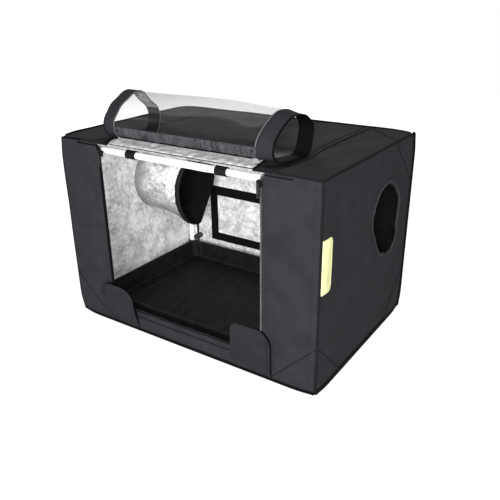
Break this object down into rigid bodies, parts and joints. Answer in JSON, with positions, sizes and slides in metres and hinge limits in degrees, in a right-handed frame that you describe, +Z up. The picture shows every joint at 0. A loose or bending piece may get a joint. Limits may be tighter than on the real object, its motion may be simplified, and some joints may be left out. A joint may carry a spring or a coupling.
{
  "type": "grow tent",
  "caption": "Box-shaped tabletop grow tent on a cube frame of poles, with a rolled-up clear window door, a zipped front opening, side ports with cloth sleeves, a mesh vent and a floor tray",
  "frame": {"origin": "middle of the floor panel's underside, where the tent stands", "axes": "+X to the tent's right as seen by a person facing the front opening, +Y to its back wall, +Z up"},
  "size_m": [0.6025, 0.4096, 0.487],
  "materials": {
    "pole": "white powder coat on steel tube, glossy",
    "black_plastic": "moulded, slightly satin",
    "cover_cloth": "coated oxford weave, charcoal outside, reflective film inside",
    "black_cloth": "black binding tape and webbing",
    "silver_lining": "pebbled reflective metal film on cloth",
    "clear_film": "clear soft plastic sheet",
    "zip_plastic": "woven tape with moulded teeth",
    "zip_metal": "die cast, nickel plated",
    "lime_cloth": "plain yellow-green cloth tab",
    "cord": "braided cord",
    "spring_steel": "drawn wire",
    "mesh": "fine insect mesh"
  },
  "bodies": {
    "tent": {"front_top_pole": "pole", "back_top_pole": "pole", "left_top_pole": "pole", "right_top_pole": "pole", "front_bottom_pole": "pole", "back_bottom_pole": "pole", "left_bottom_pole": "pole", "right_bottom_pole": "pole", "front_left_upright": "pole", "front_right_upright": "pole", "back_left_upright": "pole", "back_right_upright": "pole", "front_left_top_corner": "black_plastic", "front_right_top_corner": "black_plastic", "back_left_top_corner": "black_plastic", "back_right_top_corner": "black_plastic", "front_left_bottom_corner": "black_plastic", "front_right_bottom_corner": "black_plastic", "back_left_bottom_corner": "black_plastic", "back_right_bottom_corner": "black_plastic", "roof_panel": "cover_cloth", "floor_panel": "cover_cloth", "left_wall": "cover_cloth", "right_wall": "cover_cloth", "back_wall": "cover_cloth", "front_left_panel": "cover_cloth", "front_right_panel": "cover_cloth", "front_sill": "cover_cloth", "edge_piping": "black_cloth", "corner_patches": "cover_cloth", "roof_seam_tapes": "cover_cloth", "pole_straps": "black_cloth", "floor_tray": "black_plastic", "front_zip": "zip_plastic", "port_rings": "black_cloth", "left_sleeve": "silver_lining", "right_sleeve": "silver_lining", "left_drawstring": "cord", "right_drawstring": "cord", "vent_mesh": "mesh", "vent_hook_strips": "black_cloth"},
    "window_door": {"window_film": "clear_film", "door_side_bands": "cover_cloth", "door_hinge_band": "silver_lining", "door_bottom_band": "cover_cloth", "door_zip": "zip_plastic"},
    "left_zip_slider": {"left_slider": "zip_metal"},
    "right_zip_slider": {"right_slider": "zip_metal"},
    "left_zip_pull": {"left_pull": "zip_metal"},
    "right_zip_pull": {"right_pull": "zip_metal"},
    "left_flap": {"left_corner_flap": "cover_cloth"},
    "right_flap": {"right_corner_flap": "cover_cloth"},
    "tab": {"edge_tab": "lime_cloth"},
    "vent_cover": {"vent_flap": "silver_lining"},
    "left_lock": {"left_cord_lock": "black_plastic", "left_lock_spring": "spring_steel"},
    "right_lock": {"right_cord_lock": "black_plastic", "right_lock_spring": "spring_steel"},
    "left_button": {"left_lock_button": "black_plastic"},
    "right_button": {"right_lock_button": "black_plastic"}
  },
  "joints": [
    {"name": "door_hinge", "type": "hinge", "parent": "tent", "child": "window_door", "pos_m": [0, -0.2001, 0.4001], "axis": [1, 0, 0], "range_deg": [0, 190]},
    {"name": "left_zip", "type": "slide", "parent": "tent", "child": "left_zip_slider", "axis": [0, 0, 1], "range_m": [-0.24, 0]},
    {"name": "right_zip", "type": "slide", "parent": "tent", "child": "right_zip_slider", "axis": [0, 0, 1], "range_m": [-0.24, 0]},
    {"name": "left_pull_swing", "type": "hinge", "parent": "left_zip_slider", "child": "left_zip_pull", "pos_m": [-0.1845, -0.2068, 0.3795], "axis": [1, 0, 0], "range_deg": [-170, 0]},
    {"name": "right_pull_swing", "type": "hinge", "parent": "right_zip_slider", "child": "right_zip_pull", "pos_m": [0.1845, -0.2068, 0.3795], "axis": [1, 0, 0], "range_deg": [-170, 0]},
    {"name": "left_flap_fold", "type": "hinge", "parent": "tent", "child": "left_flap", "pos_m": [-0.1635, -0.2017, 0.012], "axis": [1, 0, 0], "range_deg": [0, 90]},
    {"name": "right_flap_fold", "type": "hinge", "parent": "tent", "child": "right_flap", "pos_m": [0.1635, -0.2017, 0.012], "axis": [1, 0, 0], "range_deg": [0, 90]},
    {"name": "tab_fold", "type": "hinge", "parent": "tent", "child": "tab", "pos_m": [0.3009, -0.1975, 0.25], "axis": [0, 0, -1], "range_deg": [0, 170]},
    {"name": "vent_flap_swing", "type": "hinge", "parent": "tent", "child": "vent_cover", "pos_m": [0, 0.1966, 0.204], "axis": [-1, 0, 0], "range_deg": [0, 38]},
    {"name": "left_lock_slide", "type": "slide", "parent": "tent", "child": "left_lock", "axis": [0, 0, 1], "range_m": [-0.006, 0.025]},
    {"name": "right_lock_slide", "type": "slide", "parent": "tent", "child": "right_lock", "axis": [0, 0, 1], "range_m": [-0.027, 0.005]},
    {"name": "left_lock_press", "type": "slide", "parent": "left_lock", "child": "left_button", "axis": [0, 1, 0], "range_m": [0, 0.003], "stiffness_N_per_m": 300, "springref_m": -0.002, "deforming": ["left_lock_spring"]},
    {"name": "right_lock_press", "type": "slide", "parent": "right_lock", "child": "right_button", "axis": [0, 1, 0], "range_m": [0, 0.003], "stiffness_N_per_m": 300, "springref_m": -0.002, "deforming": ["right_lock_spring"]}
  ]
}
